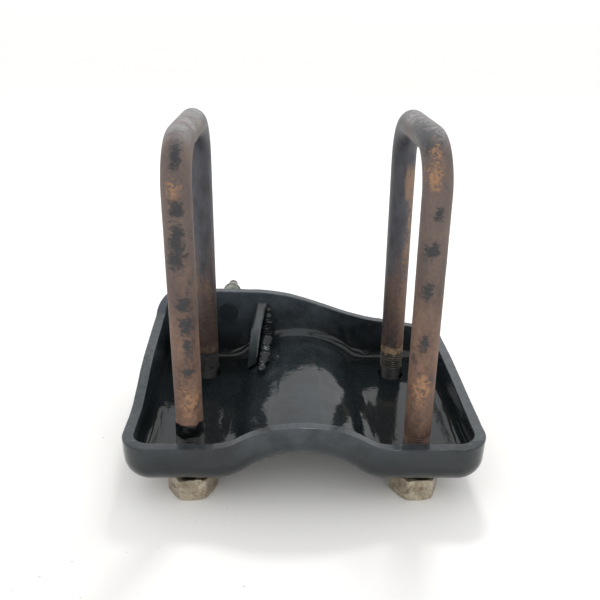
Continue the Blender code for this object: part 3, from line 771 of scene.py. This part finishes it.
def mark_roots(rod, side, x0):
    """Stores how deep in the thread each point lies, from 0 on the crests to 1 in the roots."""
    co = np.zeros(len(rod.data.vertices) * 3, np.float32)
    rod.data.vertices.foreach_get("co", co)
    co = co.reshape(-1, 3) / MM
    lean = np.array([lean_shift(side, z) for z in co[:, 2]])
    across = np.hypot(co[:, 0] - x0 - lean, np.abs(co[:, 1] + ORIGIN_Y) - LEG_PITCH_Y / 2.0)
    root = np.clip((ROD_R - 0.06 - across) / THREAD_DEPTH, 0.0, 1.0).astype(np.float32)
    attribute = rod.data.attributes.new("root", "FLOAT", "POINT")
    attribute.data.foreach_set("value", root)


# ------------------------------------------------------------------ nuts
NUT_FACE_R, NUT_LEAD = 0.5 * NUT_AF * 0.93, 0.9     # flat end face, and the lead-in of the bore
NUT_MELT = 0.12                                     # rounding where a flat meets the chamfer's cone


def hex_radius(angle, z):
    """Radius of a chamfered hexagon, its angle counted from a corner."""
    flat = 0.5 * NUT_AF / math.cos(angle % (math.pi / 3.0) - math.pi / 6.0)
    cone = 0.5 * NUT_AF * 0.96 + min(z, NUT_H - z) / math.tan(math.radians(30.0))
    corner = 0.5 * NUT_AF / math.cos(math.pi / 6.0) - 0.35
    melt = max(NUT_MELT - abs(flat - cone), 0.0) ** 2 / (4.0 * NUT_MELT)
    return min(min(flat, cone) - melt, corner)


def bore_radius(angle, z):
    lead = max(NUT_LEAD - min(z, NUT_H - z), 0.0)
    return NUT_BORE_R - 0.05 + max(lead, 0.35 * helix_groove(z, angle, THREAD_PITCH))


def hammered(x0, y0, x, y, z):
    """Pulls a point of the outside in towards the nut's axis by a few hundredths of a millimetre."""
    share = 0.003 * (1.0 + fractal((x, y, z), 0.3, 2, 6.0))
    return x - share * (x - x0), y - share * (y - y0), z


def build_nut(place, mat):
    x0, y0 = leg_positions()[place]
    x0 += lean_shift(place.split("_")[1], 0.5 * NUT_H)
    turn = math.radians(NUT_TURN_DEG[place])
    sides = 180

    def ring_at(z, radius_of):
        angles = [2.0 * math.pi * i / sides for i in range(sides)]
        return [(x0 + radius_of(a) * math.cos(a), y0 + radius_of(a) * math.sin(a), z) for a in angles]

    end_radii = (NUT_BORE_R + NUT_LEAD, NUT_BORE_R + 1.6, NUT_FACE_R)
    low = [0.12 * k for k in range(18)]
    middle = [2.2 + (NUT_H - 4.4) * k / 14 for k in range(15)]
    rings = [ring_at(0.0, lambda a, r=r: r) for r in end_radii]
    for z in low + middle + [NUT_H - h for h in reversed(low)]:
        ring = ring_at(z, lambda a: hex_radius(a - turn, z))
        rings.append([hammered(x0, y0, *point) for point in ring])
    rings += [ring_at(NUT_H, lambda a, r=r: r) for r in reversed(end_radii)]
    z = NUT_H - 0.4
    while z > 0.4:
        rings.append(ring_at(z, lambda a: bore_radius(a, z)))
        z -= THREAD_PITCH / 5.0
    return make_piece("hex_" + place, *skin(rings, closed=True), mat, 28.0)


# ------------------------------------------------------------------ gusset rib, bead, stud
def rib_x(z):
    base = floor_z(RIB_BASE_X)
    return RIB_BASE_X + RIB_LEAN_X * ((z - base) / (RIB_TOP_Z - base)) ** 2


def build_rib(mat):
    wall = BACK_Y - PLATE_T - GAP
    clear = FLANGE_BEND_R - PLATE_T + 1.5
    steps, slices = 70, 9
    rings = []
    for s in range(slices + 1):
        side = s / slices - 0.5
        round_off = 0.6 * (2.0 * abs(side)) ** 10
        foot = floor_z(rib_x(floor_z(RIB_BASE_X)) + side * RIB_T) + GAP
        outline = [(wall - clear, foot), (RIB_TOE_Y + 1.5, foot), (RIB_TOE_Y + round_off, foot + 1.0)]
        for k in range(steps + 1):
            t = k / steps
            y = RIB_TOE_Y + (wall - RIB_TOP_DEPTH - RIB_TOE_Y) * (1.0 - (1.0 - t) ** 1.5)
            z = foot + RIB_TOE_RISE + (RIB_TOP_Z - foot - RIB_TOE_RISE) * t
            drag = 0.10 * (1.0 + fractal((side * 2.0, 0.0, z), 0.12, 3, 8.0))
            outline.append((y + round_off + drag, z - 0.4 * round_off * (t > 0.97)))
        outline += [(wall, RIB_TOP_Z), (wall, foot + clear)]
        rings.append([(rib_x(z) + side * RIB_T, y, z) for y, z in outline])
    return make_piece("rib_plate", *loft(rings), mat, 40.0)


def build_bead(mat):
    """Fillet bead laid in short overlapping lumps, down the wall and out along the floor."""
    wall = BACK_Y - PLATE_T
    bend = FLANGE_BEND_R - PLATE_T
    stations, sides = 420, 32
    rings = []
    for k in range(stations + 1):
        t = k / stations
        size = 3.3 + 0.8 * t + 0.45 * math.sin(19.0 * t * math.pi) + 0.3 * math.sin(31.0 * t + 1.0)
        size *= math.sin(math.pi * min(max(t, 0.012), 0.988)) ** 0.25
        a = 0.5 * math.pi * min(max((t - WELD_TURN_FROM) / (WELD_TURN_TO - WELD_TURN_FROM), 0.0), 1.0)
        reach = max(bend - size - 2.0 * GAP, 0.2)
        foot = floor_z(rib_x(33.0) + 0.5 * RIB_T + GAP + 1.2 * size) + 0.28 * size
        along = max(t - WELD_TURN_TO, 0.0) / (1.0 - WELD_TURN_TO)
        y = wall - bend + reach * math.cos(a) - along * WELD_FOOT_L
        z = foot + bend - reach * math.sin(a)
        z += (RIB_TOP_Z - 3.0 - z) * (1.0 - min(t / WELD_TURN_FROM, 1.0))
        centre = Vector((rib_x(z) + 0.5 * RIB_T + GAP + size * (1.06 + 0.18 * math.sin(a)), y, z))
        u, v = Vector((1.0, 0.0, 0.0)), Vector((0.0, -math.cos(a), math.sin(a)))
        ring = []
        for i in range(sides):
            b = 2.0 * math.pi * i / sides
            p = centre + size * (math.cos(b) * u + math.sin(b) * v)
            lump = 0.17 * fractal(p, 0.17, 2, 21.0) + 0.10 * fractal(p, 0.45, 3, 11.0)
            sag = 0.025 * math.sin(38.0 * t * math.pi + 1.6 * math.sin(b) + 2.0 * fractal(p, 0.1, 1, 4.0))
            ring.append(tuple(centre + (p - centre) * (0.94 + lump + sag)))
        rings.append(ring)
    return make_piece("weld_bead", *loft(rings), mat, 80.0)


def stud_sections():
    """(distance from the inner wall face, radius, share of thread) along the stud."""
    seat = PLATE_T + GAP
    shoulder = seat + STUD_COLLAR_T
    tip = STUD_END_Y - (BACK_Y - PLATE_T)
    nose = tip - STUD_NOSE_L
    cone = nose - STUD_CONE_L
    out = [(0.25, STUD_R, 0.0), (0.30, STUD_R + 0.26, 0.0), (seat, STUD_R + 0.26, 0.0),
           (seat, STUD_COLLAR_R - 0.4, 0.0), (seat + 0.4, STUD_COLLAR_R, 0.0),
           (shoulder - 0.8, STUD_COLLAR_R, 0.0), (shoulder - 0.2, STUD_COLLAR_R - 0.35, 0.0),
           (shoulder, STUD_COLLAR_R - 0.8, 0.0), (shoulder, STUD_R + 0.4, 0.0), (shoulder + 0.5, STUD_R, 0.0)]
    first = cone - STUD_THREAD
    out += [(shoulder + 0.5 + (first - shoulder - 0.5) * k / 8, STUD_R, 0.0) for k in range(1, 9)]
    count = int(STUD_THREAD / STUD_PITCH * 7)
    for k in range(1, count):
        s = first + (cone - first) * k / count
        out.append((s, STUD_R, min(k / 12.0, 1.0)))
    taper = STUD_R - STUD_NOSE_R - 1.3
    out += [(cone + STUD_CONE_L * k / 6, STUD_R - 0.3 - taper * k / 6, 0.0) for k in range(7)]
    out += [(nose + 0.1, STUD_NOSE_R + 0.3, 0.0), (nose + 0.4, STUD_NOSE_R, 0.0),
            (tip - 0.8, STUD_NOSE_R, 0.0), (tip - 0.25, STUD_NOSE_R - 0.3, 0.0),
            (tip, STUD_NOSE_R - 0.8, 0.0)]
    return out


def build_stud(mat):
    inner, sides = BACK_Y - PLATE_T, 56
    rings = []
    for s, r, thread in stud_sections():
        ring = []
        for i in range(sides):
            b = 2.0 * math.pi * i / sides
            rr = r - 0.7 * thread * helix_groove(s, -b, STUD_PITCH)
            ring.append((STUD_X + rr * math.cos(b), inner + s, STUD_Z + rr * math.sin(b)))
        rings.append(ring)
    return make_piece("shock_pin", *loft(rings), mat, 40.0)


# ------------------------------------------------------------------ stage, light, camera
def build_stage():
    """A wide table top, a twentieth of a millimetre under the nuts."""
    mesh = bpy.data.meshes.new("table")
    half, top = 30.0, -0.05 * MM
    corners = [(-half, -half, top), (half, -half, top), (half, half, top), (-half, half, top)]
    mesh.from_pydata(corners, [], [(0, 1, 2, 3)])
    table = bpy.data.objects.new("table", mesh)
    bpy.context.scene.collection.objects.link(table)
    mesh.materials.append(table_top())


def build_window():
    """One small bright window, high up behind the object."""
    data = bpy.data.lights.new("window", "AREA")
    data.shape = "RECTANGLE"
    data.size = 0.22
    data.size_y = 0.17
    data.energy = 4.5
    data.color = (1.0, 0.995, 0.985)
    light = bpy.data.objects.new("window", data)
    light.location = (0.15, 0.65, 1.15)
    direction = Vector((0.0, 0.0, 0.05)) - light.location
    light.rotation_euler = direction.to_track_quat("-Z", "Y").to_euler()
    bpy.context.scene.collection.objects.link(light)


def build_surroundings():
    """White surroundings on every side."""
    world = bpy.data.worlds.new("studio")
    bpy.context.scene.world = world
    world.use_nodes = True
    background = world.node_tree.nodes["Background"]
    background.inputs["Color"].default_value = (1.0, 1.0, 1.0, 1.0)
    background.inputs["Strength"].default_value = 1.04
    bpy.context.scene.view_settings.view_transform = "Standard"


CAMERA_YAW, CAMERA_PITCH, CAMERA_ROLL = 2.028, 23.294, 1.362       # degrees
CAMERA_AT, LENS, SENSOR = (-0.0148, -0.37335, 0.2404), 40.25, 36.0  # metres, millimetres, millimetres


def build_camera():
    """The viewer stands just left of the middle and looks down at about 23 degrees."""
    yaw, pitch, roll = (math.radians(angle) for angle in (CAMERA_YAW, CAMERA_PITCH, CAMERA_ROLL))
    forward = Vector((math.sin(yaw) * math.cos(pitch), math.cos(yaw) * math.cos(pitch), -math.sin(pitch)))
    level_right = Vector((math.cos(yaw), -math.sin(yaw), 0.0))
    level_up = level_right.cross(forward)
    right = math.cos(roll) * level_right + math.sin(roll) * level_up
    up = -math.sin(roll) * level_right + math.cos(roll) * level_up
    data = bpy.data.cameras.new("camera")
    data.sensor_width = SENSOR
    data.lens = LENS
    data.clip_start = 0.01
    camera = bpy.data.objects.new("camera", data)
    rotation = Matrix((right, up, -forward)).transposed().to_4x4()
    camera.matrix_world = Matrix.Translation(Vector(CAMERA_AT)) @ rotation
    bpy.context.scene.collection.objects.link(camera)
    bpy.context.scene.camera = camera


# ------------------------------------------------------------------ assembly
def place_piece(piece, body, node):
    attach(piece, body)
    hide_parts(node)


def main():
    place_piece(build_plate(black_paint("paint_pan", rim=True)), "plate", "spring_plate")
    place_piece(build_rib(black_paint("paint_rib", front_grey=0.9)), "plate", "gusset_rib")
    bead = build_bead(black_paint("paint_bead", lumps=1.6, dust=0.15))
    place_piece(bead, "plate", "gusset_weld")
    place_piece(build_stud(oxidised_steel("stud_oxide")), "plate", "shock_stud")
    for side in ("left", "right"):
        bolt = build_bolt(side, RodRust("rust_" + side, side).build())
        place_piece(bolt, "u_bolt_" + side, "u_bolt_" + side)
    for place in leg_positions():
        name = "nut_" + place
        place_piece(build_nut(place, tarnished_zinc("zinc_" + place)), name, name)
    build_stage()
    build_surroundings()
    build_window()
    build_camera()


main()
